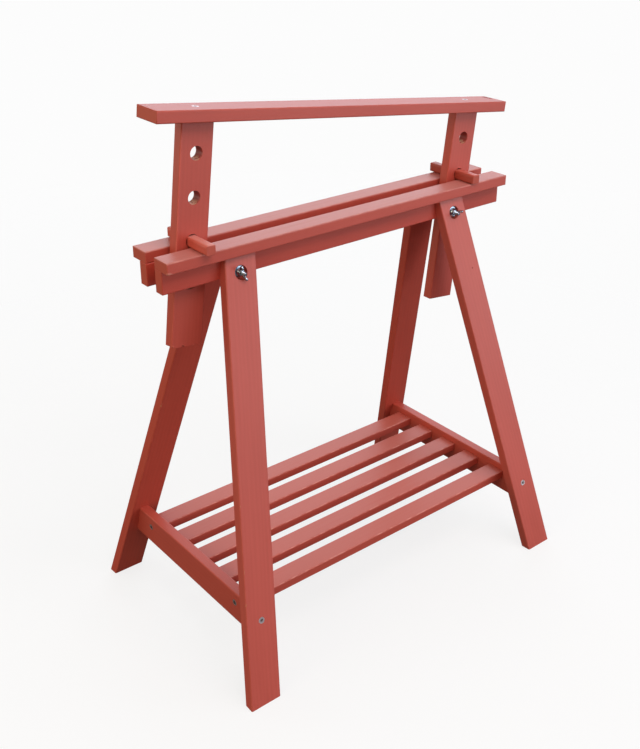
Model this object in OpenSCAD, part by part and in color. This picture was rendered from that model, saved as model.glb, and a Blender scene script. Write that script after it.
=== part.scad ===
// Adjustable wooden trestle with a slatted shelf.
// X runs along the beams, the front faces -Y, +Z is up.
// The origin is on the floor, under the middle of the stand.

/* [Beams] */
// Length of the beams and of the top board
stand_l = 700; // [620:10:1100]
// Height of the beam tops above the floor
beam_top_z = 692; // [600:2:760]
// Width of the flat rail on top of a beam
rail_w = 36; // [30:1:44]
// Thickness of the rail
rail_t = 18; // [16:1:24]
// Height of the apron board under the rail
apron_h = 36; // [34:1:60]
// Thickness of the apron board
apron_t = 18; // [16:1:24]
// Width of the slot between the two beams
slot_w = 24; // [22:1:32]

/* [Legs] */
// Width of a leg board
leg_w = 55; // [48:1:70]
// Thickness of a leg board
leg_t = 18; // [16:1:24]
// Distance over the outer faces of the feet, front to back
foot_depth = 454; // [400:2:560]
// Distance from a beam end in to the middle of a foot
foot_inset = 23.5; // [10:0.5:60]
// Distance from a beam end in to the middle of a leg top
leg_top_inset = 130; // [126:1:150]
// Wood left at the top of a leg where it tapers against the apron
leg_top_wood = 7.9; // [6:0.1:10]

/* [Shelf] */
// Height of the top of the slats
shelf_z = 140; // [120:2:220]
// Width of a slat
slat_w = 36; // [28:1:42]
// Thickness of a slat
slat_t = 16; // [14:1:20]
// Gap between two slats
slat_gap = 28.5; // [16:0.5:34]
// Thickness of an end rail
end_rail_t = 18; // [16:1:22]
// Height of an end rail
end_rail_h = 54; // [46:1:70]
// Height of the end rail's top above the slats
end_rail_rise = 12; // [4:1:20]

/* [Top board and uprights] */
// Width of the top board
board_w = 54; // [50:1:90]
// Thickness of the top board
board_t = 18; // [16:1:26]
// Distance from an end of the top board in to the middle of an upright
upright_inset = 77; // [72:0.5:79]
// Width of an upright
upright_w = 54; // [48:1:56]
// Thickness of an upright
upright_t = 18; // [15:1:20]
// Length of an upright under the top board
upright_l = 340; // [330:2:380]
// Depth of the first peg hole under the top board
first_hole = 46; // [36:1:60]
// Distance between two peg holes
hole_pitch = 64; // [50:1:70]
// Peg holes in each upright
hole_n = 4; // [4:1:4]
// Hole that the left peg is in, counted from the top board
left_hole_n = 3; // [2:1:3]
// Hole that the right peg is in, counted from the top board
right_hole_n = 2; // [2:1:3]
// How far the two pegs together stand to the left of the middle of the stand
top_shift = 8.5; // [4:0.5:9]

/* [Pegs] */
// Width of a peg, which is square with round corners
peg_w = 16; // [14:0.5:18]
// Length of a peg
peg_l = 106; // [96:1:120]
// Radius of a peg's long corners
peg_corner_r = 4; // [3:0.25:5]
// Space between a peg's corners and its hole
peg_clear = 0.8; // [0.4:0.1:0.9]
// Space between a peg and the rails
peg_seat = 0.3; // [0.1:0.1:0.5]
// How far the left peg is pushed to the front from its middle place
left_peg_push = 6; // [0:1:16]
// How far the right peg is pushed to the back from its middle place
right_peg_push = 0.5; // [0:0.5:16]

/* [Bolts and wing nuts] */
// Diameter of a bolt
bolt_d = 6; // [5:0.5:7]
// Space round a bolt in its holes
bolt_clear = 0.4; // [0.2:0.1:0.8]
// Drop of the bolts under the rails
bolt_drop = 26; // [22:1:26]
// Length of bolt past the floor of the front recess
bolt_out = 18; // [15:0.5:20]
// Diameter of the domed bolt head
bolt_head_d = 16; // [13:0.5:18]
// Height of the domed bolt head
bolt_head_h = 3.4; // [2.5:0.1:4.5]
// Width of the square neck under the head
bolt_neck_w = 6.2; // [5.8:0.1:8]
// Length of the square neck
bolt_neck_l = 4; // [2:0.5:6]
// Diameter of the round recess in a leg
recess_d = 22; // [21:0.5:28]
// Wood left under the recess
recess_wood = 9; // [7:0.5:11]
// Diameter of a washer
washer_d = 18; // [15:0.5:20]
// Thickness of a washer
washer_t = 1.5; // [1:0.1:2]
// Diameter of a wing nut's base
nut_base_d = 12.5; // [11:0.5:15]
// Diameter of a wing nut's top
nut_top_d = 9.5; // [8.5:0.5:10.5]
// Height of the straight rim round a wing nut's base
nut_rim_h = 1.6; // [1:0.1:2.5]
// Width of the break on a wing nut's top edge
nut_edge = 0.6; // [0.3:0.1:1]
// Height of a wing nut's hub
nut_hub_h = 7; // [6:0.5:9]
// Height over the nut's base where its wings leave the hub
wing_root_h = 4.2; // [3.8:0.1:5]
// Reach of a wing from the bolt
wing_reach = 13.5; // [12.5:0.5:17]
// Height of the wing tips over the nut's base
wing_h = 15; // [14:0.5:20]
// Radius of a wing's round tip
wing_tip_r = 3.25; // [2.5:0.25:3.75]
// Thickness of a wing
wing_t = 2.4; // [1.8:0.1:3]
// Turn of the left wing nut
left_nut_turn = 110; // [0:1:180]
// Turn of the right wing nut
right_nut_turn = 8; // [0:1:180]
// Space between a nut's bore and its bolt
nut_clear = 0.1; // [0.05:0.05:0.1]

/* [Screws and dowels] */
// Diameter of a screw's shank
screw_d = 5; // [4:0.5:5.5]
// Diameter of a countersunk screw head
screw_head_d = 10.5; // [9:0.5:12]
// Height of the countersunk cone
screw_head_h = 3; // [2.5:0.25:4]
// Width across flats of the socket in a screw head
screw_socket = 4; // [3:0.5:4]
// Depth of the socket in a screw head
screw_socket_depth = 2; // [1:0.25:2.5]
// Length of a screw through a leg or an end rail
side_screw_l = 58; // [45:1:62]
// Share of the wood over the first peg hole that a screw through the board reaches
board_screw_reach = 0.8; // [0.6:0.05:0.9]
// Height of the straight rim of a screw head
screw_rim_h = 0.4; // [0.2:0.1:0.6]
// Diameter of a dowel
dowel_d = 8; // [6:0.5:9]
// Width of the break on a dowel's ends
dowel_chamfer = 0.8; // [0.4:0.1:1.2]
// Distance from a beam end in to the first dowel of the beam
beam_dowel_inset = 50; // [30:5:70]
// Length of a dowel
dowel_l = 32; // [28:1:36]
// Depth of a dowel in the board that it enters across the grain
dowel_bite = 12; // [8:1:13]
// Distance of the dowels from the middle of an upright
upright_dowel_x = 15; // [13:0.5:17]
// Space round a screw or a dowel in its hole
fit_gap = 0.1; // [0.05:0.05:0.2]

/* [Edges] */
// Radius of the long edges of the boards
arris_r = 2; // [1:0.25:3]
// Radius of the edges round the ends of the boards
end_r = 1.25; // [0.5:0.25:2]

/* [Hidden] */
$fn = 64;

// Cuts reach this far past the wood
over = 1;

// Beams: a rail on an apron, flush on the side of the slot
rail_bottom_z = beam_top_z - rail_t;
apron_bottom_z = rail_bottom_z - apron_h;
rail_y = slot_w / 2 + rail_w / 2;
apron_y = slot_w / 2 + apron_t / 2;
apron_face_y = slot_w / 2 + apron_t;
beam_dowel_n = 4;
beam_dowel_pitch = (stand_l - 2 * beam_dowel_inset) / (beam_dowel_n - 1);

// Legs: the outer face leans to the middle, and the centre line splays to the ends
foot_x = stand_l / 2 - foot_inset;
leg_top_x = stand_l / 2 - leg_top_inset;
foot_y = foot_depth / 2;
leg_top_y = apron_face_y + leg_top_wood;
lean = atan((foot_y - leg_top_y) / rail_bottom_z);
splay = atan((foot_x - leg_top_x) / rail_bottom_z * cos(lean));
leg_run = rail_bottom_z / cos(lean) / cos(splay);
function leg_x(z) = foot_x + (leg_top_x - foot_x) * z / rail_bottom_z;
function leg_y(z) = foot_y + (leg_top_y - foot_y) * z / rail_bottom_z;

// Bolts run level from leg to leg through both aprons
bolt_z = rail_bottom_z - bolt_drop;
bolt_x = leg_x(bolt_z);
recess_y = apron_face_y + recess_wood;
nut_y = recess_y + washer_t;

// Shelf: slats between two end rails, which stand between the legs
slat_n = 5;
slat_z = shelf_z - slat_t / 2;
slat_pitch = slat_w + slat_gap;
end_rail_x = leg_x(slat_z);
end_rail_z = shelf_z + end_rail_rise - end_rail_h / 2;
slat_l = 2 * end_rail_x - end_rail_t;
function slat_y(i) = (i - (slat_n + 1) / 2) * slat_pitch;

// Top: the board and its uprights lean together, as the pegs' holes set them
upright_spacing = stand_l - 2 * upright_inset;
left_depth = first_hole + (left_hole_n - 1) * hole_pitch;
right_depth = first_hole + (right_hole_n - 1) * hole_pitch;
tilt = atan((left_depth - right_depth) / upright_spacing);
peg_span = upright_spacing / cos(tilt);
peg_z = beam_top_z + peg_w / 2 + peg_seat;
left_peg_x = -top_shift - peg_span / 2;
right_peg_x = -top_shift + peg_span / 2;
peg_hole_d = 2 * ((peg_w / 2 - peg_corner_r) * sqrt(2) + peg_corner_r + peg_clear);
board_screw_l = board_t + board_screw_reach * (first_hole - peg_hole_d / 2);

paint_red = [0.70, 0.33, 0.30];
end_red = [0.62, 0.28, 0.22];
zinc = [0.74, 0.76, 0.79];
beech = [0.80, 0.66, 0.47];

// Rectangle with round corners, centred
module round_rect(w, h, r) {
    square([w, h - 2 * r], center = true);
    square([w - 2 * r, h], center = true);
    for (sx = [-1, 1], sy = [-1, 1])
        translate([sx * (w / 2 - r), sy * (h / 2 - r)]) circle(r);
}

// Planed board along X, centred, with its edges and its ends broken
module planed_board(l, w, t, edge_r = arris_r) {
    intersection() {
        rotate([90, 0, 90]) linear_extrude(l, center = true) round_rect(w, t, edge_r);
        linear_extrude(t + 2 * over, center = true) round_rect(l, w, end_r);
        rotate([90, 0, 0]) linear_extrude(w + 2 * over, center = true) round_rect(l, t, end_r);
    }
}

// Mirrors what is drawn for the back right corner to the corner given by two signs
module to_corner(sx, sy) {
    mirror([sx < 0 ? 1 : 0, 0, 0]) mirror([0, sy < 0 ? 1 : 0, 0]) children();
}

// Countersunk screw with a six-sided socket, head up at z = 0
module wood_screw(l) {
    difference() {
        rotate_extrude() polygon([
            [0, 0], [screw_head_d / 2, 0], [screw_head_d / 2, -screw_rim_h],
            [screw_d / 2, -screw_head_h], [screw_d / 2, -l + screw_d], [0, -l]]);
        translate([0, 0, -screw_socket_depth])
            cylinder(d = screw_socket / cos(30), h = screw_socket_depth + over, $fn = 6);
    }
}

// Hole for that screw, with the countersink
module screw_hole(l) {
    r = screw_d / 2 + fit_gap;
    head_r = screw_head_d / 2 + fit_gap;
    rotate_extrude() polygon([
        [0, over], [head_r, over], [head_r, -screw_rim_h - fit_gap],
        [r, -screw_head_h - fit_gap], [r, -l - fit_gap], [0, -l - fit_gap]]);
}

// Dowel standing up along Z from z = 0, with broken ends
module dowel(l) {
    r = dowel_d / 2;
    c = dowel_chamfer;
    rotate_extrude() polygon([[0, 0], [r - c, 0], [r, c], [r, l - c], [r - c, l], [0, l]]);
}

module dowel_hole(l) {
    translate([0, 0, -fit_gap]) cylinder(d = dowel_d + 2 * fit_gap, h = l + 2 * fit_gap);
}

// Dowels that tie a rail to its apron, on the side of the beam given by sy
module place_beam_dowels(sy) {
    for (i = [0 : beam_dowel_n - 1])
        translate([beam_dowel_inset - stand_l / 2 + i * beam_dowel_pitch, sy * apron_y,
            rail_bottom_z + dowel_bite - dowel_l]) children();
}

module rail(sy) {
    color(paint_red) difference() {
        translate([0, sy * rail_y, beam_top_z - rail_t / 2]) planed_board(stand_l, rail_w, rail_t);
        place_beam_dowels(sy) dowel_hole(dowel_l);
    }
}

module apron(sy) {
    color(paint_red) difference() {
        translate([0, sy * apron_y, rail_bottom_z - apron_h / 2]) planed_board(stand_l, apron_t, apron_h);
        place_beam_dowels(sy) dowel_hole(dowel_l);
        for (sx = [-1, 1])
            translate([sx * bolt_x, 0, bolt_z]) rotate([-90 * sy, 0, 0])
                cylinder(d = bolt_d + 2 * bolt_clear, h = apron_face_y + over);
    }
}

// Places a screw square to the leg's outer face, into the end rail
module place_leg_screw() {
    translate([leg_x(slat_z), leg_y(slat_z), slat_z]) rotate([lean - 90, 0, 0]) children();
}

// The board of the back right leg before it is cut to its place
module leg_blank() {
    translate([foot_x, foot_y, 0]) rotate([lean, 0, 0]) rotate([0, -splay, 0])
        translate([0, -leg_t / 2, -leg_w]) linear_extrude(leg_run + 2 * leg_w)
            round_rect(leg_w, leg_t, arris_r);
}

// Back right leg: level foot, level top under the rail and a face cut plumb against the apron
module leg_shape() {
    reach = 4 * stand_l;
    difference() {
        leg_blank();
        translate([0, 0, -reach / 2]) cube(reach, center = true);
        translate([0, 0, rail_bottom_z + reach / 2]) cube(reach, center = true);
        translate([0, apron_face_y - reach / 2, apron_bottom_z]) cube(reach, center = true);
        translate([bolt_x, recess_y, bolt_z]) rotate([-90, 0, 0]) cylinder(d = recess_d, h = foot_y);
        translate([bolt_x, 0, bolt_z]) rotate([-90, 0, 0])
            cylinder(d = bolt_d + 2 * bolt_clear, h = recess_y + over);
        place_leg_screw() screw_hole(side_screw_l);
    }
}

// The back legs also hold the square necks of the bolts
module leg(sx, sy) {
    neck = bolt_neck_w + 2 * fit_gap;
    color(paint_red) to_corner(sx, sy) difference() {
        leg_shape();
        if (sy > 0)
            translate([bolt_x, recess_y - (bolt_neck_l - over) / 2, bolt_z])
                cube([neck, bolt_neck_l + over, neck], center = true);
    }
}

// End rail: its ends are cut to the slope of the legs' inner faces
module end_rail(sx) {
    end_l = 2 * foot_y;
    color(paint_red) translate([sx * end_rail_x, 0, 0]) difference() {
        intersection() {
            translate([0, 0, end_rail_z]) rotate([90, 0, 0]) linear_extrude(end_l, center = true)
                round_rect(end_rail_t, end_rail_h, arris_r);
            rotate([90, 0, 90]) linear_extrude(end_rail_t + 2 * over, center = true)
                polygon([for (p = [[-1, 0], [1, 0], [1, 1], [-1, 1]])
                    [p[0] * (leg_y(p[1] * rail_bottom_z) - leg_t / cos(lean)), p[1] * rail_bottom_z]]);
        }
        for (i = [1, slat_n])
            translate([sx * end_rail_t / 2, slat_y(i), slat_z]) rotate([0, sx * 90, 0])
                screw_hole(side_screw_l);
        for (i = [2 : slat_n - 1])
            translate([-sx * end_rail_t / 2, slat_y(i), slat_z]) rotate([0, sx * 90, 0])
                translate([0, 0, dowel_bite - dowel_l]) dowel_hole(dowel_l);
        for (sy = [-1, 1])
            translate([-sx * end_rail_x, 0, 0]) to_corner(sx, sy)
                place_leg_screw() screw_hole(side_screw_l);
    }
}

// Slat i, counted from the front: the outer ones are screwed, the others sit on dowels
module shelf_slat(i) {
    screwed = i == 1 || i == slat_n;
    color(paint_red) translate([0, slat_y(i), slat_z]) difference() {
        planed_board(slat_l, slat_w, slat_t);
        for (sx = [-1, 1]) {
            if (screwed)
                translate([sx * (slat_l / 2 + end_rail_t), 0, 0]) rotate([0, sx * 90, 0])
                    screw_hole(side_screw_l);
            else
                translate([sx * slat_l / 2, 0, 0]) rotate([0, sx * 90, 0])
                    translate([0, 0, dowel_bite - dowel_l]) dowel_hole(dowel_l);
        }
    }
}

// Carries the top's own frame, with z = 0 under the board, to its place on the left peg
module in_top_frame() {
    translate([left_peg_x, 0, peg_z]) rotate([0, tilt, 0])
        translate([upright_spacing / 2, 0, left_depth]) children();
}

// Dowels and screws between the board and the uprights
module place_upright_dowels(sx) {
    for (dx = [-1, 1])
        translate([sx * upright_spacing / 2 + dx * upright_dowel_x, 0, dowel_bite - dowel_l]) children();
}

module place_board_screw(sx) {
    translate([sx * upright_spacing / 2, 0, board_t]) children();
}

module top_board() {
    color(paint_red) in_top_frame() difference() {
        translate([0, 0, board_t / 2]) planed_board(stand_l, board_w, board_t);
        for (sx = [-1, 1]) {
            place_board_screw(sx) screw_hole(board_screw_l);
            place_upright_dowels(sx) dowel_hole(dowel_l);
        }
    }
}

module upright(sx) {
    color(paint_red) in_top_frame() difference() {
        translate([sx * upright_spacing / 2, 0, -upright_l / 2]) rotate([0, 90, 0])
            planed_board(upright_l, upright_t, upright_w);
        for (k = [0 : hole_n - 1])
            translate([sx * upright_spacing / 2, 0, -first_hole - k * hole_pitch])
                rotate([90, 0, 0]) cylinder(d = peg_hole_d, h = upright_t + 2 * over, center = true);
        place_board_screw(sx) screw_hole(board_screw_l);
        place_upright_dowels(sx) dowel_hole(dowel_l);
    }
}

// Peg across both rails, with its middle at x and y
module peg(x, y) {
    color(end_red) translate([x, y, peg_z]) rotate([0, 0, 90])
        planed_board(peg_l, peg_w, peg_w, peg_corner_r);
}

// Bolt from the back recess, where its domed head sits, to past the nut at the front
module bolt(sx) {
    shank_l = 2 * recess_y + bolt_out;
    ball_r = (bolt_head_d * bolt_head_d / 4 + bolt_head_h * bolt_head_h) / 2 / bolt_head_h;
    color(zinc) translate([sx * bolt_x, recess_y, bolt_z]) rotate([90, 0, 0]) {
        rotate_extrude() polygon([
            [0, -over], [bolt_d / 2, -over], [bolt_d / 2, shank_l - bolt_d / 8],
            [bolt_d / 2 - bolt_d / 8, shank_l], [0, shank_l]]);
        translate([-bolt_neck_w / 2, -bolt_neck_w / 2, -over])
            cube([bolt_neck_w, bolt_neck_w, bolt_neck_l + over]);
        rotate_extrude() intersection() {
            translate([0, ball_r - bolt_head_h]) circle(ball_r);
            translate([0, -bolt_head_h]) square([bolt_head_d, bolt_head_h]);
        }
    }
}

module washer(sx) {
    color(zinc) translate([sx * bolt_x, -recess_y, bolt_z]) rotate([90, 0, 0]) difference() {
        cylinder(d = washer_d, h = washer_t);
        translate([0, 0, -over]) cylinder(d = bolt_d + 2 * bolt_clear, h = washer_t + 2 * over);
    }
}

// Point where a line from p touches the circle round c, on the side given by the sign s
function touch(p, c, r, s) =
    let (a = atan2(c[1] - p[1], c[0] - p[0]) + s * asin(r / norm(c - p)))
    c + s * r * [-sin(a), cos(a)];

// Half of the wings' outline: from the hub up and out to a round tip
module wing_outline() {
    tip = [wing_reach - wing_tip_r, wing_h - wing_tip_r];
    low = [nut_top_d / 2, wing_root_h];
    high = [nut_top_d / 2 - nut_edge, nut_hub_h];
    translate(tip) circle(wing_tip_r);
    polygon([
        [high[0], low[1]], low, touch(low, tip, wing_tip_r, -1),
        tip, touch(high, tip, wing_tip_r, 1), high]);
}

module wing_nut(sx, turn) {
    bore = bolt_d + 2 * nut_clear;
    color(zinc) translate([sx * bolt_x, -nut_y, bolt_z]) rotate([90, 0, 0]) rotate([0, 0, turn])
        difference() {
            union() {
                rotate_extrude() polygon([
                    [0, 0], [nut_base_d / 2, 0], [nut_base_d / 2, nut_rim_h], [nut_top_d / 2, wing_root_h],
                    [nut_top_d / 2, nut_hub_h - nut_edge], [nut_top_d / 2 - nut_edge, nut_hub_h],
                    [0, nut_hub_h]]);
                for (half = [0, 180])
                    rotate([90, 0, half]) linear_extrude(wing_t, center = true) wing_outline();
            }
            translate([0, 0, -over]) cylinder(d = bore, h = wing_h + 2 * over);
        }
}

module leg_screws() {
    color(zinc) for (sx = [-1, 1], sy = [-1, 1])
        to_corner(sx, sy) place_leg_screw() wood_screw(side_screw_l);
}

module slat_screws() {
    color(zinc) for (sx = [-1, 1], i = [1, slat_n])
        translate([sx * (slat_l / 2 + end_rail_t), slat_y(i), slat_z]) rotate([0, sx * 90, 0])
            wood_screw(side_screw_l);
}

module board_screws() {
    color(zinc) in_top_frame() for (sx = [-1, 1]) place_board_screw(sx) wood_screw(board_screw_l);
}

module beam_dowels(sy) {
    color(beech) place_beam_dowels(sy) dowel(dowel_l);
}

module slat_dowels() {
    color(beech) for (sx = [-1, 1], i = [2 : slat_n - 1])
        translate([sx * slat_l / 2, slat_y(i), slat_z]) rotate([0, sx * 90, 0])
            translate([0, 0, dowel_bite - dowel_l]) dowel(dowel_l);
}

module upright_dowels() {
    color(beech) in_top_frame() for (sx = [-1, 1]) place_upright_dowels(sx) dowel(dowel_l);
}

rail(-1);  // front_rail
rail(1);  // back_rail
apron(-1);  // front_apron
apron(1);  // back_apron
leg(-1, -1);  // front_left_leg
leg(1, -1);  // front_right_leg
leg(-1, 1);  // back_left_leg
leg(1, 1);  // back_right_leg
end_rail(-1);  // left_end_rail
end_rail(1);  // right_end_rail
shelf_slat(1);  // shelf_slat_1
shelf_slat(2);  // shelf_slat_2
shelf_slat(3);  // shelf_slat_3
shelf_slat(4);  // shelf_slat_4
shelf_slat(5);  // shelf_slat_5
top_board();
upright(-1);  // left_upright
upright(1);  // right_upright
peg(left_peg_x, -left_peg_push);  // left_peg
peg(right_peg_x, right_peg_push);  // right_peg
bolt(-1);  // left_bolt
bolt(1);  // right_bolt
washer(-1);  // left_washer
washer(1);  // right_washer
wing_nut(-1, left_nut_turn);  // left_wing_nut
wing_nut(1, right_nut_turn);  // right_wing_nut
leg_screws();
slat_screws();
board_screws();
beam_dowels(-1);  // front_beam_dowels
beam_dowels(1);  // back_beam_dowels
slat_dowels();
upright_dowels();
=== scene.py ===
# Looks, light and camera of the adjustable trestle
from math import atan, cos, pi, radians, sin
import bmesh
import bpy
from mathutils import Matrix, Vector


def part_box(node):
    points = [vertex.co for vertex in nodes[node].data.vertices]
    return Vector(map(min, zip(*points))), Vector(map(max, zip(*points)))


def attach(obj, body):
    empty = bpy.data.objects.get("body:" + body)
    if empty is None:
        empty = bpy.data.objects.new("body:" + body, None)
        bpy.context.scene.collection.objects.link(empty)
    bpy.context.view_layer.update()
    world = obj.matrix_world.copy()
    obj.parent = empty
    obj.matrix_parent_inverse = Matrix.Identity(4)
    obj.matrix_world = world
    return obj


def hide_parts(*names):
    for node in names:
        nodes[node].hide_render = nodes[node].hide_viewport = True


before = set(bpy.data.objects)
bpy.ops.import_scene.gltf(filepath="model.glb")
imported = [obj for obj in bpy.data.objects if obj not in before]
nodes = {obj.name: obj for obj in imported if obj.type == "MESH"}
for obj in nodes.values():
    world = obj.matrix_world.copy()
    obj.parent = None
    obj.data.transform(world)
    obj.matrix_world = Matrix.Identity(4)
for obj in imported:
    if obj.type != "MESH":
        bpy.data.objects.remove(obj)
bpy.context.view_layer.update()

# Boards: length, width, thickness and places in metres, as the solids have them
slot = 0.024
rail_size = (0.700, 0.036, 0.018)
apron_size = (0.700, 0.018, 0.036)
beam_top = 0.692
leg_size = (0.700, 0.055, 0.018)
leg_foot = Vector((0.3265, 0.2270, 0.0))
leg_head = Vector((0.2200, 0.0379, 0.674))
slat_count = 5
slat_size = (0.583, 0.036, 0.016)
slat_pitch = 0.0645
shelf_top = 0.140
end_rail_size = (0.330, 0.054, 0.018)
end_rail_middle = 0.125
end_rail_x = 0.30564
board_size = (0.700, 0.054, 0.018)
upright_size = (0.340, 0.054, 0.018)
upright_spacing = 0.546
hole_depths = (0.046, 0.110, 0.174, 0.238)
hole_r = 0.010457
peg_size = (0.106, 0.016, 0.016)
left_pin = Vector((-0.283369, 0.0, 0.7003))
left_pin_depth = 0.174
tilt = atan(0.064 / upright_spacing)

# Bolts, drawn from the back recess to the tip
bolt_x = 0.224108
bolt_z = 0.648
recess_y = 0.039
bolt_r = 0.003
bolt_l = 0.096
bolt_core_r = 0.00255
bolt_tip = 0.0006
bolt_tip_share = 0.78
thread_l = 0.030
thread_pitch = 0.001
ridge_r = bolt_r - bolt_core_r
plain_l = bolt_l - thread_l
bolt_head_r = 0.008
bolt_head_h = 0.0034
bolt_neck_w = 0.0062
bolt_neck_l = 0.004
neck_sink = 0.001

# Washers and wing nuts
washer_r = 0.009
washer_t = 0.0015
washer_bore_r = 0.0034
nut_base_r = 0.00625
nut_top_r = 0.00475
nut_rim_h = 0.0016
nut_hub_h = 0.007
nut_edge = 0.0006
nut_bore_r = 0.0031
wing_root_h = 0.0042
wing_root_share = 0.75
wing_reach = 0.0135
wing_h = 0.015
wing_tip_r = 0.00325
wing_t = 0.0024
nut_turns = {"left": radians(110.0), "right": radians(8.0)}

# Fineness of the new pieces
thread_corners = 4
thread_steps = 40
fine_corners = 48
round_corners = 64
wide_corners = 96
weld_gap = 0.000002
bore_overlap = 0.001
cast_voxel = 0.00030
cast_smoothing = 0.5
cast_rounds = 6
metal_edge = 0.0004
washer_edge = 0.00025

# Directions
down_board = Vector((cos(tilt), 0.0, -sin(tilt)))
up_board = Vector((sin(tilt), 0.0, cos(tilt)))
X = Vector((1.0, 0.0, 0.0))
Y = Vector((0.0, 1.0, 0.0))
Z = Vector((0.0, 0.0, 1.0))
origin = Vector((0.0, 0.0, 0.0))
sides = ((-1, "front"), (1, "back"))
hands = ((-1, "left"), (1, "right"))

# Colours as written, linear
paint_deep = (0.472, 0.0700, 0.0475, 1.0)
paint_pale = (0.575, 0.0910, 0.0630, 1.0)
paint_end = (0.500, 0.0860, 0.0530, 1.0)
# Paler paint of rubbed edges and chips, which on the long edges is also a painted highlight
paint_rubbed_and_highlit = (0.600, 0.130, 0.095, 1.0)
# Darker colour of the peg hole walls: painted shade in the holes
paint_hole_shade = (0.330, 0.0280, 0.0180, 1.0)
paint_bruised = (0.240, 0.0250, 0.0200, 1.0)
# Pale line on the upper long edges: painted highlight
paint_edge_highlight = (0.740, 0.3100, 0.2700, 1.0)
# Front legs paler and back legs deeper: lit and shaded copies of one paint, painted light and painted
# shade
leg_deep = {"front": (0.492, 0.0800, 0.0585, 1.0), "back": (0.450, 0.0600, 0.0380, 1.0)}
leg_pale = {"front": (0.598, 0.1060, 0.0800, 1.0), "back": (0.560, 0.0810, 0.0500, 1.0)}
# Aprons' paint deeper than the rails': painted shade under the rails' overhang
apron_shaded_deep = (0.475, 0.0560, 0.0350, 1.0)
apron_shaded_pale = (0.585, 0.0730, 0.0460, 1.0)
# Paler upper sides of the rails, slats and pegs: painted light from above
rail_lit_top = (0.575, 0.2000, 0.1750, 1.0)
slat_lit_top = (0.520, 0.1170, 0.0870, 1.0)
peg_deep = {"left": (0.525, 0.0840, 0.0600, 1.0), "right": (0.360, 0.0520, 0.0330, 1.0)}
peg_pale = {"left": (0.645, 0.1240, 0.0900, 1.0), "right": (0.450, 0.0710, 0.0480, 1.0)}
peg_lit_top = {"left": (0.740, 0.2650, 0.2250, 1.0), "right": (0.640, 0.1350, 0.1000, 1.0)}
bare_pine = (0.560, 0.330, 0.170, 1.0)
bare_in_hole = (0.680, 0.360, 0.210, 1.0)
bare_fibre = (0.600, 0.190, 0.150, 1.0)
zinc_pale = (0.52, 0.61, 0.72, 1.0)
zinc_dull = (0.26, 0.32, 0.40, 1.0)
# Zinc of the screw heads tinted red: painted reflection of the red paint around them
screw_pale_red_reflection = (0.82, 0.69, 0.70, 1.0)
screw_dull_red_reflection = (0.45, 0.37, 0.38, 1.0)
# Near black in the screws' sockets: painted shade
socket_shade = (0.012, 0.012, 0.015, 1.0)
beech_pale = (0.62, 0.42, 0.25, 1.0)
beech_deep = (0.50, 0.31, 0.17, 1.0)

# Scales of the paint's patterns, along, across and through a board where there are three
brush_scales = (7.0, 210.0, 210.0)
cloud_scales = (5.0, 14.0, 14.0)
grain_scales = (0.10, 1.0, 0.6)
spot_scales = (60.0, 160.0, 160.0)
grain_band_scale = 42.0
grain_wander = 5.0
peel_scale = 900.0
ragged_scale = 600.0
patch_scale = 190.0
seed_shift = (1.7, 2.3, 0.9)

# Shares of the patterns in the paint's shade, and how far each layer covers the ones below
cloud_share = 0.55
brush_share = 0.35
grain_share = 0.10
shade_levels = (0.20, 0.80)
end_cover = 0.75
rubbed_highlight_cover = 0.32
edge_highlight_cover = 0.7
chipped_cover = 0.8
bare_cover = 0.90

# Where the layers lie: levels are of a pattern, shares of the thickness, and the rest is in metres
end_levels = (0.75, 0.95)
upper_share = 0.38
upper_full_share = 0.48
streak_levels = (0.2, 0.5)
least_streak = 0.6
edge_depths = (-0.0022, -0.0006)
rubbed_highlight_levels = (0.44, 0.60)
chipped_levels = (0.705, 0.73)
ragged_reach = 1.3
chip_core = 0.7
wall_outer = 0.0004
wall_inner = 0.0001
mouth_outer = 0.0006
mouth_inner = 0.0020
patch_levels = (0.36, 0.52)
low_in_hole = (-0.0045, -0.0085)

# Roughness, sheen and relief of the paint; a relief is a depth in metres and a strength
paint_rough = 0.40
brush_rough = 0.08
end_rough = 0.18
spot_dulling = 0.35
rail_dulling = 0.20
paint_sheen = 0.5
paint_ior = 1.46
brush_relief = (0.00020, 0.14)
grain_relief = (0.00025, 0.10)
peel_relief = (0.00006, 0.25)
chip_relief = (-0.0004, 0.6)

# Zinc and beech
zinc_rough = 0.12
screw_rough = 0.34
zinc_cloud_rough = 0.16
zinc_cloud_scale = 420.0
zinc_mark_scales = (400.0, 2600.0, 2600.0)
zinc_mark_shift = (1.0, 2.0, 3.0)
zinc_levels = (0.35, 0.75)
zinc_relief = (0.00003, 0.25)
socket_shade_outer_r = 0.0026
socket_shade_inner_r = 0.0021
beech_rough = 0.55
fleck_rough = 0.15
fleck_scales = (120.0, 900.0, 900.0)
fleck_shift = (0.3, 0.1, 0.7)
fleck_levels = (0.35, 0.65)
fleck_relief = (0.00010, 0.3)

# Seeds of the paint on each kind of board, so that no two boards look alike
seeds = {"rail": 3, "apron": 8, "leg": 12, "end rail": 20, "slat": 25, "top": 41, "upright": 47, "peg": 52}
slat_seed_step = 1.3


def add(tree, kind, values=None, **settings):
    made = tree.nodes.new(kind)
    for key, value in settings.items():
        setattr(made, key, value)
    for socket, value in (values or {}).items():
        if isinstance(value, bpy.types.NodeSocket):
            tree.links.new(value, made.inputs[socket])
        else:
            made.inputs[socket].default_value = value
    return made


def compute(tree, what, a, b=0.0, clamp=False):
    made = add(tree, "ShaderNodeMath", {0: a, 1: b}, operation=what)
    made.use_clamp = clamp
    return made.outputs[0]


def times(tree, a, b):
    return compute(tree, "MULTIPLY", a, b)


def plus(tree, a, b):
    return compute(tree, "ADD", a, b)


def minus(tree, a, b):
    return compute(tree, "SUBTRACT", a, b)


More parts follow.
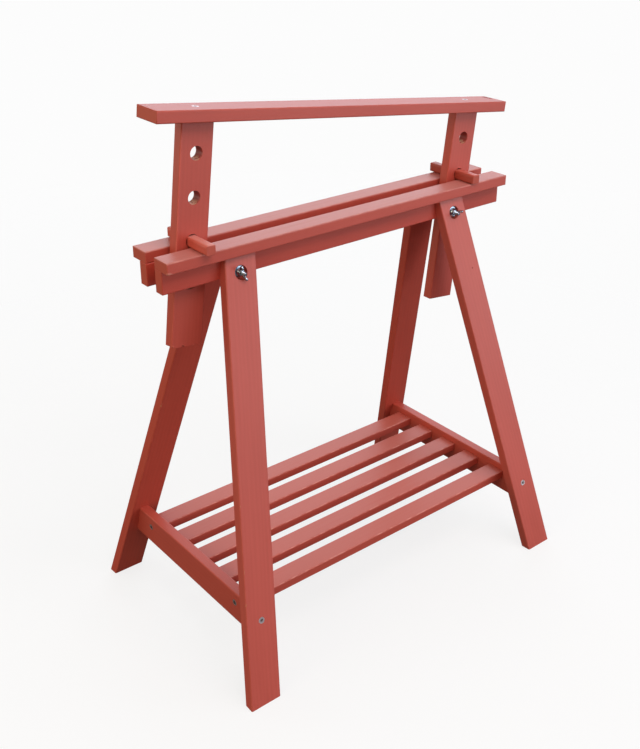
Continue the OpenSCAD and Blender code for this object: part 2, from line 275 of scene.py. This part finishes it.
def spread(tree, value, low, high, to_low=0.0, to_high=1.0):
    values = {"Value": value, "From Min": low, "From Max": high, "To Min": to_low, "To Max": to_high}
    return add(tree, "ShaderNodeMapRange", values).outputs[0]


def mix(tree, share, first, second):
    made = add(tree, "ShaderNodeMix", {0: share, 6: first, 7: second}, data_type="RGBA")
    return made.outputs[2]


def noise(tree, place, scale=1.0, detail=2.0, rough=0.5):
    values = {"Vector": place, "Scale": scale, "Detail": detail, "Roughness": rough}
    return add(tree, "ShaderNodeTexNoise", values).outputs["Fac"]


def distance(tree, place, spot):
    far = add(tree, "ShaderNodeVectorMath", {0: place}, operation="DISTANCE")
    far.inputs[1].default_value = spot
    return far.outputs["Value"]


def stretch(tree, place, factors, shift):
    made = add(tree, "ShaderNodeMapping", {"Vector": place}, vector_type="POINT")
    made.inputs["Scale"].default_value = factors
    made.inputs["Location"].default_value = shift
    return made.outputs["Vector"]


def relief(tree, height, depth, strength, before=None):
    values = {"Height": height, "Distance": depth, "Strength": strength}
    if before is not None:
        values["Normal"] = before
    return add(tree, "ShaderNodeBump", values).outputs["Normal"]


def board_turn(along, face):
    u = along.normalized()
    w = (face - u * u.dot(face)).normalized()
    return Matrix((u, w.cross(u), w))


# Material whose pattern lies in the board's own frame: X along the grain, Z out of its wide face
def board_material(name, along, face, middle):
    made = bpy.data.materials.new(name)
    made.use_nodes = True
    tree = made.node_tree
    turn = board_turn(along, face)
    where = add(tree, "ShaderNodeTexCoord")
    place = add(tree, "ShaderNodeMapping", {"Vector": where.outputs["Object"]}, vector_type="POINT")
    place.inputs["Rotation"].default_value = turn.to_euler()
    place.inputs["Location"].default_value = -(turn @ middle)
    return made, tree, place.outputs["Vector"]


# Links colour, roughness and relief to the material's own shader
def dress(tree, colour, rough, normal):
    shader = tree.nodes["Principled BSDF"]
    tree.links.new(colour, shader.inputs["Base Color"])
    tree.links.new(rough, shader.inputs["Roughness"])
    tree.links.new(normal, shader.inputs["Normal"])
    return shader


# 1 on the faces across the grain, 0 on the others
def end_faces(tree, along):
    where = add(tree, "ShaderNodeTexCoord")
    facing = add(tree, "ShaderNodeVectorMath", {0: where.outputs["Normal"]}, operation="DOT_PRODUCT")
    facing.inputs[1].default_value = along.normalized()
    return spread(tree, compute(tree, "ABSOLUTE", facing.outputs["Value"]), *end_levels)


# Bands of the grain that show faintly through the paint
def grain_under_paint(tree, place, shift):
    values = {"Vector": stretch(tree, place, grain_scales, shift), "Scale": grain_band_scale,
        "Distortion": grain_wander, "Detail": 2.0, "Detail Scale": 1.2}
    made = add(tree, "ShaderNodeTexWave", values, wave_type="BANDS", bands_direction="Y")
    return made.outputs["Fac"]


# 1 on the long edges, where a narrow side and a wide face meet
def long_edges(tree, parts, size):
    side = minus(tree, compute(tree, "ABSOLUTE", parts["Y"]), size[1] / 2)
    flat = minus(tree, compute(tree, "ABSOLUTE", parts["Z"]), size[2] / 2)
    return spread(tree, compute(tree, "MINIMUM", side, flat), *edge_depths)


# Small chips at single places of the board, each a ragged spot; returns where the spots are, too
def chip_paint(tree, place, colour, chips):
    ragged = times(tree, minus(tree, noise(tree, place, ragged_scale), 0.5), ragged_reach)
    spotted = 0.0
    for spot, radius, shown in chips:
        reach = plus(tree, distance(tree, place, spot), times(tree, ragged, radius))
        here = spread(tree, reach, radius, radius * chip_core)
        spotted = compute(tree, "MAXIMUM", here, spotted)
        colour = mix(tree, here, colour, shown)
    return colour, spotted


# Peg hole walls get a darker paint, painted shade in the holes, and bare wood shows in patches low on
# their walls
def hole_paint(tree, place, parts, thick, colour, pin_holes):
    from_middle = compute(tree, "ABSOLUTE", parts["Z"])
    inside = spread(tree, from_middle, thick / 2 - mouth_outer, thick / 2 - mouth_inner)
    patch = spread(tree, noise(tree, place, patch_scale, detail=3.0), *patch_levels)
    for along_board in pin_holes:
        dx = minus(tree, parts["X"], along_board)
        squares = plus(tree, times(tree, dx, dx), times(tree, parts["Y"], parts["Y"]))
        reach = compute(tree, "SQRT", squares)
        wall = times(tree, spread(tree, reach, hole_r + wall_outer, hole_r + wall_inner), inside)
        colour = mix(tree, wall, colour, paint_hole_shade)
        bare = times(tree, wall, times(tree, patch, spread(tree, dx, *low_in_hole)))
        colour = mix(tree, times(tree, bare, bare_cover), colour, bare_in_hole)
    return colour


# Semi-matte red paint over planed pine; lit_top is the paler colour of an upper side, painted light from
# above, where there is one
def red_paint(name, along, face, middle, size, seed, pin_holes=(), chips=(),
        deep=paint_deep, pale=paint_pale, lit_top=None, dulling=0.0):
    made, tree, place = board_material(name, along, face, middle)
    parts = add(tree, "ShaderNodeSeparateXYZ", {"Vector": place}).outputs
    shift = tuple(seed * step for step in seed_shift)
    brushed = noise(tree, stretch(tree, place, brush_scales, shift), detail=3.0, rough=0.6)
    clouds = noise(tree, stretch(tree, place, cloud_scales, shift))
    grain = grain_under_paint(tree, place, shift)
    end = end_faces(tree, along)
    shade = plus(tree, times(tree, clouds, cloud_share), times(tree, brushed, brush_share))
    shade = plus(tree, shade, times(tree, grain, grain_share))
    colour = mix(tree, spread(tree, shade, *shade_levels), deep, pale)
    colour = mix(tree, times(tree, end, end_cover), colour, paint_end)

    # Upper side paler as painted light from above, thin paint on the long edges that also paints a
    # highlight there, chips there and at single places, and holes
    upper = 0.0
    spotted = 0.0
    if lit_top is not None:
        upper = spread(tree, parts["Z"], size[2] * upper_share, size[2] * upper_full_share)
        streaked = spread(tree, brushed, *streak_levels, least_streak)
        colour = mix(tree, times(tree, upper, streaked), colour, lit_top)
    edge = long_edges(tree, parts, size)
    spots = noise(tree, stretch(tree, place, spot_scales, shift), detail=3.0, rough=0.65)
    # Paler long edges: rubbed paint, and a painted highlight along the arrises
    rubbed_and_highlit = times(tree, edge, spread(tree, spots, *rubbed_highlight_levels))
    colour = mix(tree, times(tree, rubbed_and_highlit, rubbed_highlight_cover), colour, paint_rubbed_and_highlit)
    # Pale line along the upper long edges: painted highlight
    if lit_top is not None:
        highlit_edge = times(tree, times(tree, upper, rubbed_and_highlit), edge_highlight_cover)
        colour = mix(tree, highlit_edge, colour, paint_edge_highlight)
    chipped = times(tree, edge, spread(tree, spots, *chipped_levels))
    colour = mix(tree, times(tree, chipped, chipped_cover), colour, bare_pine)
    if chips:
        colour, spotted = chip_paint(tree, place, colour, chips)
    if pin_holes:
        colour = hole_paint(tree, place, parts, size[2], colour, pin_holes)

    rough = plus(tree, paint_rough, times(tree, brushed, brush_rough))
    rough = plus(tree, rough, times(tree, end, end_rough))
    normal = relief(tree, brushed, *brush_relief)
    normal = relief(tree, grain, *grain_relief, normal)
    normal = relief(tree, noise(tree, place, peel_scale), *peel_relief, normal)
    normal = relief(tree, chipped, *chip_relief, normal)
    shader = dress(tree, colour, rough, normal)
    shader.inputs["IOR"].default_value = paint_ior

    # Chips and the upper sides are duller
    if chips or lit_top is not None:
        rougher = times(tree, spotted, spot_dulling)
        tree.links.new(compute(tree, "ADD", rough, rougher, clamp=True), shader.inputs["Roughness"])
        duller = compute(tree, "MAXIMUM", rougher, times(tree, upper, dulling))
        tree.links.new(minus(tree, paint_sheen, duller), shader.inputs["Specular IOR Level"])
    return made


# Zinc plate with faint clouds and fine marks, and painted shade in the sockets of screw heads
def zinc_plate(name, along, face, middle, pale=zinc_pale, dull=zinc_dull, least_rough=zinc_rough,
        sockets=()):
    made, tree, place = board_material(name, along, face, middle)
    clouds = noise(tree, place, zinc_cloud_scale, detail=3.0, rough=0.6)
    marks = noise(tree, stretch(tree, place, zinc_mark_scales, zinc_mark_shift))
    colour = mix(tree, spread(tree, clouds, *zinc_levels), pale, dull)
    # Each socket is darkened: painted shade in the recess
    for spot in sockets:
        far = distance(tree, place, board_turn(along, face) @ (spot - middle))
        colour = mix(tree, spread(tree, far, socket_shade_outer_r, socket_shade_inner_r), colour, socket_shade)
    rough = plus(tree, least_rough, times(tree, clouds, zinc_cloud_rough))
    shader = dress(tree, colour, rough, relief(tree, marks, *zinc_relief))
    shader.inputs["Metallic"].default_value = 1.0
    return made


# Bare beech of the hidden dowels
def bare_beech(name, along, face, middle):
    made, tree, place = board_material(name, along, face, middle)
    flecks = noise(tree, stretch(tree, place, fleck_scales, fleck_shift), detail=3.0, rough=0.6)
    colour = mix(tree, spread(tree, flecks, *fleck_levels), beech_deep, beech_pale)
    rough = plus(tree, beech_rough, times(tree, flecks, fleck_rough))
    dress(tree, colour, rough, relief(tree, flecks, *fleck_relief))
    return made


def wear(node, material):
    shown = nodes[node]
    if not shown.material_slots:
        shown.data.materials.append(material)
    for part in shown.material_slots:
        part.material = material


# Chips: place in the board's own frame, radius and what shows there
rail_chips = (
    ((-0.3478, -0.0168, -0.0080), 0.0046, bare_fibre),
    ((-0.3430, -0.0180, -0.0092), 0.0030, bare_fibre),
    ((-0.3500, -0.0080, -0.0090), 0.0026, paint_rubbed_and_highlit),
)
leg_chips = (
    ((0.2193, -0.0096, 0.0090), 0.0018, paint_bruised),
)
board_chips = (
    ((0.3410, 0.0150, 0.0090), 0.0058, paint_bruised),
    ((0.3425, 0.0060, 0.0090), 0.0056, paint_bruised),
)
upright_chips = (
    ((-0.1655, -0.0250, -0.0090), 0.0026, paint_rubbed_and_highlit),
    ((-0.1660, -0.0070, -0.0090), 0.0018, paint_rubbed_and_highlit),
    ((-0.1690, 0.0120, -0.0090), 0.0016, paint_rubbed_and_highlit),
)

# Paint on the beams and legs
beam_paints = {}
for y_sign, side in sides:
    middle = Vector((0.0, y_sign * (slot + rail_size[1]) / 2, beam_top - rail_size[2] / 2))
    paint = red_paint(side + " rail paint", X, Z, middle, rail_size, seeds["rail"] + y_sign,
        chips=rail_chips if side == "front" else (), lit_top=rail_lit_top, dulling=rail_dulling)
    wear(side + "_rail", paint)
    beam_paints[side] = paint
    apron_z = beam_top - rail_size[2] - apron_size[2] / 2
    middle = Vector((0.0, y_sign * (slot + apron_size[1]) / 2, apron_z))
    paint = red_paint(side + " apron paint", X, Z, middle, apron_size, seeds["apron"] + y_sign,
        deep=apron_shaded_deep, pale=apron_shaded_pale)
    wear(side + "_apron", paint)
    for x_sign, hand in hands:
        foot = Vector((x_sign * leg_foot.x, y_sign * leg_foot.y, leg_foot.z))
        head = Vector((x_sign * leg_head.x, y_sign * leg_head.y, leg_head.z))
        up_leg = (head - foot).normalized()
        outward = X.cross(up_leg).normalized()
        if outward.y * y_sign < 0:
            outward = -outward
        middle = (foot + head) / 2 - outward * leg_size[2] / 2
        seed = seeds["leg"] + 2 * y_sign + x_sign
        # Front legs get the lit copy of the paint and back legs the shaded copy
        paint = red_paint(side + " " + hand + " leg paint", up_leg, outward, middle, leg_size, seed,
            chips=leg_chips if (side, hand) == ("front", "right") else (),
            deep=leg_deep[side], pale=leg_pale[side])
        wear(side + "_" + hand + "_leg", paint)

# Paint on the shelf
for x_sign, hand in hands:
    middle = Vector((x_sign * end_rail_x, 0.0, end_rail_middle))
    paint = red_paint(hand + " end rail paint", Y, X, middle, end_rail_size, seeds["end rail"] + x_sign)
    wear(hand + "_end_rail", paint)
slat_z = shelf_top - slat_size[2] / 2
for number in range(1, slat_count + 1):
    middle = Vector((0.0, (number - (slat_count + 1) / 2) * slat_pitch, slat_z))
    seed = seeds["slat"] + number * slat_seed_step
    paint = red_paint("slat " + str(number) + " paint", X, Z, middle, slat_size, seed, lit_top=slat_lit_top)
    wear("shelf_slat_" + str(number), paint)

# The top hangs on the left peg; its frame starts at the board's underside over that peg's upright
left_head = left_pin + up_board * left_pin_depth
top_middle = left_head + down_board * upright_spacing / 2
board_middle = top_middle + up_board * board_size[2] / 2
board_paint = red_paint("top board paint", down_board, up_board, board_middle, board_size, seeds["top"],
    chips=board_chips)
wear("top_board", board_paint)
upright_paints = {}
holes_on_upright = [upright_size[0] / 2 - depth for depth in hole_depths]
for x_sign, hand in hands:
    middle = top_middle + down_board * x_sign * upright_spacing / 2 - up_board * upright_size[0] / 2
    paint = red_paint(hand + " upright paint", up_board, Y, middle, upright_size,
        seeds["upright"] + 2 * x_sign, holes_on_upright, upright_chips if hand == "left" else ())
    wear(hand + "_upright", paint)
    upright_paints[hand] = paint
    low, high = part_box(hand + "_peg")
    paint = red_paint(hand + " peg paint", Y, up_board, (low + high) / 2, peg_size, seeds["peg"] + x_sign,
        deep=peg_deep[hand], pale=peg_pale[hand], lit_top=peg_lit_top[hand])
    wear(hand + "_peg", paint)

# Screws, with the middles of their heads, and dowels
on_leg = leg_foot + (leg_head - leg_foot) * slat_z / leg_head.z
on_rail_end = Vector((end_rail_x + end_rail_size[2] / 2, 2 * slat_pitch, slat_z))
on_board = board_middle + up_board * board_size[2] / 2
corners = [(x, y) for x in (-1, 1) for y in (-1, 1)]
screw_heads = {
    "leg_screws": [Vector((x * on_leg.x, y * on_leg.y, slat_z)) for x, y in corners],
    "slat_screws": [Vector((x * on_rail_end.x, y * on_rail_end.y, slat_z)) for x, y in corners],
    "board_screws": [on_board + down_board * x * upright_spacing / 2 for x in (-1, 1)],
}
# The screw heads' red tint is a painted reflection of the paint around them
for name, heads in screw_heads.items():
    wear(name, zinc_plate(name.replace("_", " ") + " zinc", Y, Z, origin,
        screw_pale_red_reflection, screw_dull_red_reflection, screw_rough, heads))
dowel_ways = {"front_beam_dowels": Z, "back_beam_dowels": Z, "slat_dowels": X, "upright_dowels": up_board}
for name, along in dowel_ways.items():
    wear(name, bare_beech(name.replace("_", " ") + " beech", along, Y, origin))


def deselect():
    if bpy.context.object is not None and bpy.context.object.mode != "OBJECT":
        bpy.ops.object.mode_set(mode="OBJECT")
    bpy.ops.object.select_all(action="DESELECT")


# Selects only these pieces, and makes the last one the active one
def take(*pieces):
    deselect()
    for piece in pieces:
        piece.select_set(True)
    bpy.context.view_layer.objects.active = pieces[-1]


def edit():
    bpy.ops.object.mode_set(mode="EDIT")


def done():
    bpy.ops.object.mode_set(mode="OBJECT")
    return bpy.context.object


def settle():
    bpy.ops.object.transform_apply(location=True, rotation=True, scale=True)


# Selects the vertices of the piece in edit mode that the test picks
def choose(test):
    shape = bmesh.from_edit_mesh(bpy.context.object.data)
    bpy.ops.mesh.select_all(action="DESELECT")
    for corner in shape.verts:
        corner.select = test(corner.co)
    shape.select_flush_mode()
    bmesh.update_edit_mesh(bpy.context.object.data)


# Draws the selected face up along Z in steps of (rise, scale)
def draw_up(steps):
    for rise_by, scale in steps:
        bpy.ops.mesh.extrude_region_move(TRANSFORM_OT_translate={"value": (0.0, 0.0, rise_by)})
        bpy.ops.transform.resize(value=(scale, scale, 1.0), center_override=(0.0, 0.0, 0.0))


def disc(radius, corners, place=(0.0, 0.0, 0.0), turn=(0.0, 0.0, 0.0), fill="NGON"):
    bpy.ops.mesh.primitive_circle_add(vertices=corners, radius=radius, fill_type=fill,
        location=place, rotation=turn)


def even_normals():
    edit()
    bpy.ops.mesh.select_all(action="SELECT")
    bpy.ops.mesh.remove_doubles(threshold=weld_gap)
    bpy.ops.mesh.normals_make_consistent(inside=False)
    return done()


# Closed round column, drawn up from a disc in steps of (rise, scale)
def column(radius, corners, bottom, steps):
    deselect()
    disc(radius, corners, (0.0, 0.0, bottom))
    edit()
    draw_up(steps)
    done()
    return even_normals()


def apply(piece, kind, **settings):
    step = piece.modifiers.new(kind.lower(), kind)
    for key, value in settings.items():
        setattr(step, key, value)
    bpy.context.view_layer.objects.active = piece
    bpy.ops.object.modifier_apply(modifier=step.name)


def bevel(piece, width, segments, angle):
    apply(piece, "BEVEL", width=width, segments=segments, limit_method="ANGLE", angle_limit=radians(angle))


def cut_away(piece, tool):
    apply(piece, "BOOLEAN", operation="DIFFERENCE", solver="EXACT", object=tool)
    bpy.data.objects.remove(tool)


# Turns a piece made along Z to point to the front, sets it at its place and smooths it
def set_forward(piece, place, turn, smooth_angle):
    take(piece)
    forward = Matrix.Rotation(pi / 2, 4, "X") @ Matrix.Rotation(turn, 4, "Z")
    piece.matrix_world = Matrix.Translation(place) @ forward
    settle()
    bpy.ops.object.shade_smooth_by_angle(angle=radians(smooth_angle))
    return piece


def finish_piece(piece, name, material, node, body):
    piece.name = name
    piece.data.name = name
    piece.data.materials.clear()
    piece.data.materials.append(material)
    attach(piece, body)
    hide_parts(node)


# Copy of a board with its splinters broken out; each is a place, a size and a turn about Y
def splinter(node, name, material, body, breaks):
    raggedness = 0.00045
    first_seed = 3
    board = bpy.data.objects.new(name, nodes[node].data.copy())
    bpy.context.scene.collection.objects.link(board)
    take(board)
    even_normals()
    for number, (place, size, turn) in enumerate(breaks):
        deselect()
        bpy.ops.mesh.primitive_ico_sphere_add(subdivisions=3, radius=1.0, location=place,
            rotation=(0.0, turn, 0.0), scale=size)
        settle()
        edit()
        bpy.ops.mesh.select_all(action="SELECT")
        bpy.ops.transform.vertex_random(offset=raggedness, seed=number + first_seed)
        cut_away(board, done())
    finish_piece(board, name, material, node, body)


def nut_hub():
    top_share = nut_top_r / nut_base_r
    edge_share = (nut_top_r - nut_edge) / nut_top_r
    deselect()
    disc(nut_base_r, round_corners)
    edit()
    draw_up(((nut_rim_h, 1.0), (wing_root_h - nut_rim_h, top_share),
        (nut_hub_h - nut_edge - wing_root_h, 1.0), (nut_edge, edge_share)))
    return done()


# One wing from a disc at its tip, drawn in to the hub, then a second one turned half round
def nut_wings():
    tip = Vector((wing_reach - wing_tip_r, -wing_t / 2, wing_h - wing_tip_r))
    root = Vector((nut_top_r * wing_root_share, -wing_t / 2, (wing_root_h + nut_hub_h) / 2))
    root_share = (nut_hub_h - wing_root_h) / wing_tip_r / 2
    inward = (root - tip).normalized()
    past_tip = 0.0001
    deselect()
    disc(wing_tip_r, fine_corners, tip, (pi / 2, 0.0, 0.0))
    settle()
    edit()
    choose(lambda co: (co - tip).dot(inward) > past_tip)
    bpy.ops.transform.translate(value=(root - tip))
    bpy.ops.transform.resize(value=(root_share, 1.0, root_share), center_override=root)
    bpy.ops.mesh.select_all(action="SELECT")
    bpy.ops.mesh.extrude_region_move(TRANSFORM_OT_translate={"value": (0.0, wing_t, 0.0)})
    bpy.ops.mesh.select_all(action="SELECT")
    bpy.ops.mesh.duplicate()
    bpy.ops.transform.rotate(value=pi, orient_axis="Z", center_override=(0.0, 0.0, 0.0))
    return done()


# Hub and wings melted into one casting, then bored
def make_wing_nut(place, turn):
    hub = nut_hub()
    wings = nut_wings()
    take(wings, hub)
    bpy.ops.object.join()
    nut = even_normals()
    apply(nut, "REMESH", mode="VOXEL", voxel_size=cast_voxel)
    apply(nut, "SMOOTH", factor=cast_smoothing, iterations=cast_rounds)
    cut_away(nut, column(nut_bore_r, fine_corners, -bore_overlap, ((wing_h, 1.0),)))
    return set_forward(nut, place, turn, smooth_angle=50.0)


# Domed head: the low cap of a ball, closed with a flat face
def bolt_head():
    ball_r = (bolt_head_r ** 2 + bolt_head_h ** 2) / 2 / bolt_head_h
    deselect()
    bpy.ops.mesh.primitive_uv_sphere_add(segments=round_corners, ring_count=round_corners, radius=ball_r,
        location=(0.0, 0.0, ball_r - bolt_head_h))
    settle()
    edit()
    bpy.ops.mesh.select_all(action="SELECT")
    bpy.ops.mesh.bisect(plane_co=origin, plane_no=Z, clear_outer=True, use_fill=True)
    done()
    head = even_normals()
    bevel(head, metal_edge, segments=3, angle=30.0)
    return head


# Square neck, sunk a little into the head
def bolt_neck():
    deselect()
    bpy.ops.mesh.primitive_cube_add(size=1.0, location=(0.0, 0.0, (bolt_neck_l - neck_sink) / 2))
    neck = bpy.context.object
    neck.scale = (bolt_neck_w, bolt_neck_w, bolt_neck_l + neck_sink)
    settle()
    bevel(neck, metal_edge, segments=2, angle=30.0)
    return neck


# Thread: a square standing on its corner, wound round the core
def bolt_thread():
    start = (bolt_core_r, 0.0, plain_l + ridge_r * 2)
    rounds = int((thread_l - ridge_r * 4 - bolt_tip) / thread_pitch)
    deselect()
    disc(ridge_r, thread_corners, start, (pi / 2, 0.0, 0.0), "NOTHING")
    settle()
    apply(bpy.context.object, "SCREW", angle=2 * pi, screw_offset=thread_pitch, iterations=rounds,
        steps=thread_steps, render_steps=thread_steps, axis="Z")
    edit()
    bpy.ops.mesh.select_all(action="SELECT")
    bpy.ops.mesh.fill_holes(sides=thread_corners)
    done()
    return even_normals()


def make_bolt(place):
    shank = column(bolt_r, fine_corners, 0.0, ((plain_l, 1.0), (ridge_r, bolt_core_r / bolt_r),
        (thread_l - ridge_r - bolt_tip, 1.0), (bolt_tip, bolt_tip_share)))
    head = bolt_head()
    neck = bolt_neck()
    thread = bolt_thread()
    take(head, neck, thread, shank)
    bpy.ops.object.join()
    return set_forward(shank, place, 0.0, smooth_angle=32.0)


def make_washer(place):
    ring = column(washer_r, wide_corners, 0.0, ((washer_t, 1.0),))
    bore_h = washer_t + 2 * bore_overlap
    cut_away(ring, column(washer_bore_r, fine_corners, -bore_overlap, ((bore_h, 1.0),)))
    bevel(ring, washer_edge, segments=3, angle=40.0)
    return set_forward(ring, place, 0.0, smooth_angle=35.0)


# Splintered foot of the left upright
foot_middle = left_head - up_board * upright_size[0]
front_of_foot = foot_middle - Y * upright_size[2] / 2
foot_breaks = (
    (front_of_foot - down_board * 0.0270 - up_board * 0.0005, (0.0060, 0.0200, 0.0048), 0.25),
    (front_of_foot - down_board * 0.0070 - up_board * 0.0003, (0.0032, 0.0110, 0.0042), 0.10),
    (front_of_foot + down_board * 0.0020 - up_board * 0.0006, (0.0075, 0.0080, 0.0022), 0.06),
    (front_of_foot + down_board * 0.0150 - up_board * 0.0008, (0.0070, 0.0070, 0.0018), 0.00),
    (front_of_foot - down_board * 0.0160 - up_board * 0.0010, (0.0060, 0.0090, 0.0020), 0.20),
)
splinter("left_upright", "left_splintered_upright", upright_paints["left"], "top", foot_breaks)

# Knocked corner of the front rail
rail_corner = Vector((-rail_size[0] / 2, -slot / 2 - rail_size[1], beam_top - rail_size[2]))
corner_breaks = (
    (rail_corner + Vector((0.0002, 0.0004, 0.0)), (0.0032, 0.0026, 0.0024), 0.4),
    (rail_corner + Vector((0.0070, 0.0, -0.0004)), (0.0028, 0.0024, 0.0016), 0.1),
    (rail_corner + Vector((-0.0004, 0.0110, -0.0002)), (0.0022, 0.0040, 0.0018), 0.0),
)
splinter("front_rail", "front_knocked_rail", beam_paints["front"], "frame", corner_breaks)

# Bruised end of the top board
board_corner = board_middle + down_board * board_size[0] / 2 + up_board * board_size[2] / 2
end_breaks = (
    (board_corner + Y * 0.0150 + up_board * 0.0004, (0.0020, 0.0050, 0.0016), 0.3),
)
splinter("top_board", "bruised_top_board", board_paint, "top", end_breaks)

# Bolts, washers and wing nuts at their places
for x_sign, hand in hands:
    back_face = Vector((x_sign * bolt_x, recess_y, bolt_z))
    washer_face = Vector((x_sign * bolt_x, -recess_y, bolt_z))
    nut_face = Vector((x_sign * bolt_x, -recess_y - washer_t, bolt_z))
    zinc = zinc_plate(hand + " bolt zinc", Y, Z, back_face)
    bolt = make_bolt(back_face)
    finish_piece(bolt, hand + "_threaded_bolt", zinc, hand + "_bolt", "frame")
    zinc = zinc_plate(hand + " washer zinc", X, Y, washer_face)
    washer = make_washer(washer_face)
    finish_piece(washer, hand + "_bevelled_washer", zinc, hand + "_washer", "frame")
    zinc = zinc_plate(hand + " nut zinc", X, Y, nut_face)
    nut = make_wing_nut(nut_face, nut_turns[hand])
    finish_piece(nut, hand + "_cast_wing_nut", zinc, hand + "_wing_nut", hand + "_wing_nut")

# Floor and room: sizes in metres, linear colours, and where the room's light changes by direction
floor_r = 6.0
floor_fade = (0.9, 2.6)
floor_white = (0.92, 0.93, 0.95, 1.0)
floor_grey = (0.12, 0.12, 0.12, 1.0)
backdrop_white = (0.975, 0.975, 0.975, 1.0)
glow_share = 0.80
room_level = 0.55
room_heights = (-0.20, 0.40)
room_left = (0.0, -0.75)
dim = (0.12, 0.12, 0.13, 1.0)
bright = (room_level, room_level, room_level, 1.0)
warm_dim = (0.15, 0.12, 0.07, 1.0)
warm_bright = (room_level, room_level * 0.90, room_level * 0.66, 1.0)


# Pale floor: matte with a glow to the camera, grey to other rays, and clear far from the stand
def floor_material():
    made = bpy.data.materials.new("pale floor")
    made.use_nodes = True
    tree = made.node_tree
    matte = tree.nodes["Principled BSDF"]
    matte.inputs["Roughness"].default_value = 1.0
    matte.inputs["Specular IOR Level"].default_value = 0.0
    seen = add(tree, "ShaderNodeLightPath").outputs["Is Camera Ray"]
    tree.links.new(mix(tree, seen, floor_grey, floor_white), matte.inputs["Base Color"])
    glow = add(tree, "ShaderNodeEmission", {"Color": backdrop_white, "Strength": 1.0})
    glow_seen = times(tree, seen, glow_share)
    near = add(tree, "ShaderNodeMixShader", {0: glow_seen, 1: matte.outputs[0], 2: glow.outputs[0]})
    clear = add(tree, "ShaderNodeBsdfTransparent")
    where = add(tree, "ShaderNodeTexCoord")
    away = add(tree, "ShaderNodeVectorMath", {0: where.outputs["Object"]}, operation="LENGTH")
    fade = spread(tree, away.outputs["Value"], *floor_fade)
    whole = add(tree, "ShaderNodeMixShader", {0: fade, 1: near.outputs[0], 2: clear.outputs[0]})
    tree.links.new(whole.outputs[0], tree.nodes["Material Output"].inputs["Surface"])
    return made


# World: white to the camera, and a soft grey room, warmer on the left, to everything else
def soft_room():
    world = bpy.data.worlds.new("soft room")
    world.use_nodes = True
    tree = world.node_tree
    room = tree.nodes["Background"]
    room.inputs["Strength"].default_value = 1.0
    where = add(tree, "ShaderNodeTexCoord").outputs["Generated"]
    direction = add(tree, "ShaderNodeSeparateXYZ", {"Vector": where}).outputs
    to_left = spread(tree, direction["X"], *room_left)
    upward = spread(tree, direction["Z"], *room_heights)
    below = mix(tree, to_left, dim, warm_dim)
    above = mix(tree, to_left, bright, warm_bright)
    tree.links.new(mix(tree, upward, below, above), room.inputs["Color"])
    backdrop = add(tree, "ShaderNodeBackground", {"Color": backdrop_white, "Strength": 1.0})
    seen = add(tree, "ShaderNodeLightPath").outputs["Is Camera Ray"]
    both = add(tree, "ShaderNodeMixShader", {0: seen, 1: room.outputs[0], 2: backdrop.outputs[0]})
    tree.links.new(both.outputs[0], tree.nodes["World Output"].inputs["Surface"])
    return world


deselect()
disc(floor_r, wide_corners)
floor = bpy.context.object
floor.name = "floor"
floor.data.materials.append(floor_material())
bpy.context.scene.world = soft_room()


# Softbox that faces the middle of the stand, unseen by the camera
def softbox(name, middle, size, power, colour):
    stand_middle = Vector((0.0, 0.0, 0.45))
    light = bpy.data.lights.new(name, "AREA")
    light.shape = "RECTANGLE"
    light.size = size[0]
    light.size_y = size[1]
    light.energy = power
    light.color = colour
    holder = bpy.data.objects.new(name, light)
    bpy.context.scene.collection.objects.link(holder)
    holder.location = middle
    holder.rotation_euler = (stand_middle - Vector(middle)).to_track_quat("-Z", "Y").to_euler()
    holder.visible_camera = False


softbox("high front softbox", (0.2, -1.8, 3.2), (2.0, 1.6), 40.0, (1.0, 0.88, 0.87))
softbox("low front card", (1.2, -1.9, 0.32), (2.0, 0.5), 6.0, (0.78, 0.92, 1.0))
softbox("right card", (1.9, -2.3, 1.0), (1.6, 1.2), 19.0, (0.86, 0.93, 1.0))
softbox("warm left fill", (-3.0, -0.6, 1.3), (1.6, 1.6), 21.0, (1.0, 0.87, 0.62))
softbox("back left card", (-1.9, 2.4, 0.9), (1.6, 1.2), 9.0, (1.0, 0.92, 0.82))
softbox("back softbox", (2.1, 2.5, 2.0), (3.0, 1.8), 40.0, (0.80, 0.90, 1.0))

# Camera, solved from the photograph
view_turn = radians(39.83)
view_rise = radians(25.74)
view_roll = radians(0.57)
view_far = 1.759
view_target = Vector((-0.0058, 0.0, 0.4530))
photo_w = 640.0
photo_h = 749.0
focal_px = 1024.9
axis_px = (334.3, 340.75)
camera = bpy.data.cameras.new("camera")
camera.sensor_fit = "HORIZONTAL"
camera.sensor_width = 36.0
camera.lens = focal_px / photo_w * camera.sensor_width
camera.shift_x = (photo_w / 2 - axis_px[0]) / photo_w
camera.shift_y = (axis_px[1] - photo_h / 2) / photo_w
camera.clip_start = 0.05
camera.clip_end = 50.0
camera_holder = bpy.data.objects.new("camera", camera)
bpy.context.scene.collection.objects.link(camera_holder)
leaned = Matrix.Rotation(pi / 2 - view_rise, 4, "X") @ Matrix.Rotation(view_roll, 4, "Z")
looks = Matrix.Rotation(-view_turn, 4, "Z") @ leaned
back_of_view = looks @ Z
camera_holder.matrix_world = Matrix.Translation(view_target + back_of_view * view_far) @ looks
bpy.context.scene.camera = camera_holder
bpy.context.scene.view_settings.view_transform = "Standard"
